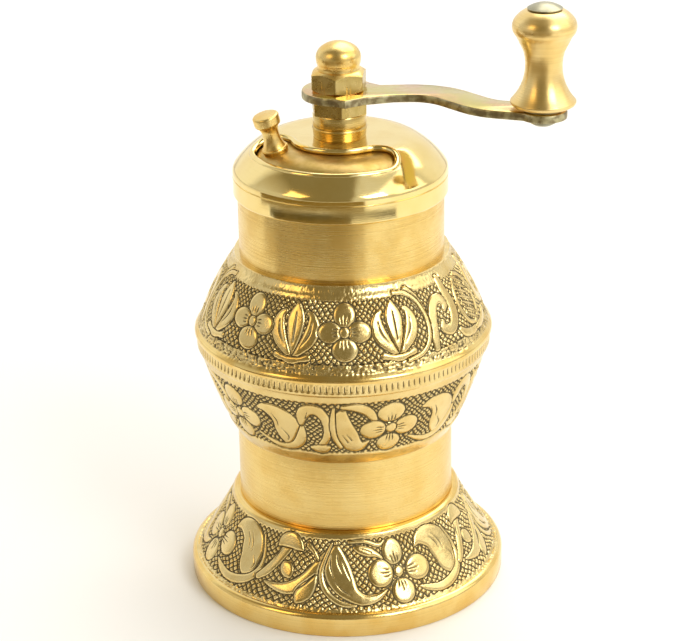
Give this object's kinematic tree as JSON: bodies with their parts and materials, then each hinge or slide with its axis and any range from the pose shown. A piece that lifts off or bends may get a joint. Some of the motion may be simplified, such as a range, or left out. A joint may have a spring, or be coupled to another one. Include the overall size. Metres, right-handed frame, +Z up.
{
  "type": "pepper mill",
  "caption": "Hand-cranked brass pepper mill: engraved foot and bowl, brushed hopper, domed cover with a sliding filler door, S-bent crank.",
  "frame": {"origin": "centre of the foot's underside, on the mill's axis", "axes": "+Z up along the mill's axis, +X towards the crank's grip side, -Y the front, where the filling slot is"},
  "size_m": [0.077, 0.0652, 0.1239],
  "materials": {
    "cast_brass": "cast relief, dark patina in the recesses, rubbed bright on top",
    "satin_brass": "satin, fine turning lines",
    "brushed_brass": "brushed round",
    "polished_brass": "polished",
    "turned_brass": "turned",
    "grip_brass": "turned and polished",
    "door_brass": "dull sheet",
    "plated_steel": "yellow passivated zinc",
    "burr_steel": "machined steel"
  },
  "bodies": {
    "grounds_cup": {"foot_flare": "cast_brass", "cup_tube": "satin_brass", "base_plate": "satin_brass"},
    "mill_body": {"lower_bowl": "cast_brass", "shoulder_shell": "cast_brass", "hopper_tube": "brushed_brass", "cover": "polished_brass", "cover_bush": "turned_brass", "door_washer": "turned_brass", "bush_nut": "turned_brass", "thrust_collar": "turned_brass", "stator_burr": "burr_steel", "burr_screws": "burr_steel", "shaft_bridge": "burr_steel", "bridge_bush": "turned_brass", "bridge_screws": "burr_steel"},
    "door": {"filler_door": "door_brass", "door_knob": "turned_brass", "door_knob_screw": "burr_steel"},
    "crank": {"crank_arm": "plated_steel", "cap_nut": "turned_brass", "grip_spindle": "plated_steel", "grip_washer": "plated_steel"},
    "adjuster": {"adjusting_nut": "turned_brass"},
    "grip_body": {"grip": "grip_brass"},
    "spindle": {"drive_shaft": "burr_steel", "rotor_burr": "burr_steel", "rotor_washer": "burr_steel", "rotor_nut": "burr_steel", "burr_spring": "burr_steel"}
  },
  "joints": [
    {"name": "pull_apart", "type": "slide", "parent": "grounds_cup", "child": "mill_body", "axis": [0, 0, 1], "range_m": [0, 0.03]},
    {"name": "door_swing", "type": "hinge", "parent": "mill_body", "child": "door", "pos_m": [0, 0, 0.0925], "axis": [0, 0, 1], "range_deg": [-12, 102]},
    {"name": "crank_turn", "type": "hinge", "parent": "mill_body", "child": "crank", "pos_m": [0, 0, 0.1027], "axis": [0, 0, 1], "continuous": true},
    {"name": "nut_turn", "type": "hinge", "parent": "crank", "child": "adjuster", "pos_m": [0, 0, 0.1004], "axis": [0, 0, 1], "range_deg": [0, 360]},
    {"name": "burr_gap", "type": "slide", "parent": "crank", "child": "spindle", "axis": [0, 0, 1], "range_m": [-0.001, 0], "deforming": ["burr_spring"]},
    {"name": "grip_spin", "type": "hinge", "parent": "crank", "child": "grip_body", "pos_m": [0.0382, -0.0158, 0.1134], "axis": [0, 0, 1], "continuous": true}
  ],
  "couplings": [
    {"joint": "nut_turn", "follows": "burr_gap", "rad_per_m": -6283.2}
  ]
}
